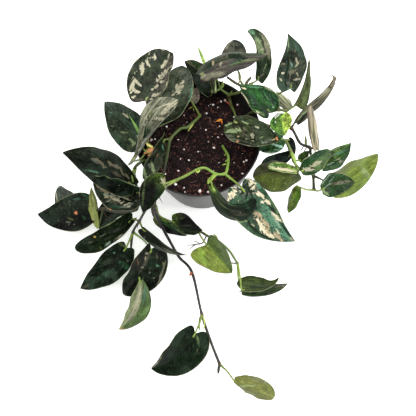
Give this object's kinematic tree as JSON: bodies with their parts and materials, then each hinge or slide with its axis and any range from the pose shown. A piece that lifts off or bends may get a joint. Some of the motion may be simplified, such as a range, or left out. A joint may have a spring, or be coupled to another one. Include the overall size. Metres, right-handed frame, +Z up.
{
  "type": "potted satin pothos",
  "caption": "Trailing satin pothos with silver-flecked heart-shaped leaves on arching and hanging stems, in a plain tapered nursery pot filled with soil.",
  "frame": {"origin": "centre of the pot's underside, on the surface that the pot stands on", "axes": "+Z up the pot's axis, +X to the right seen from the front, -Y towards the side where the longest stem trails"},
  "size_m": [0.4434, 0.4375, 0.1827],
  "materials": {
    "pot": "satin",
    "soil": "matte",
    "foliage": "satin"
  },
  "bodies": {
    "root": {"pot": "pot", "soil": "soil", "vine_front": "foliage", "vine_trailing": "foliage", "vine_hanging": "foliage", "vine_left": "foliage", "vine_upper_left": "foliage", "vine_right": "foliage", "vine_lower_right": "foliage", "vine_back_right": "foliage", "vine_back": "foliage"}
  },
  "joints": []
}
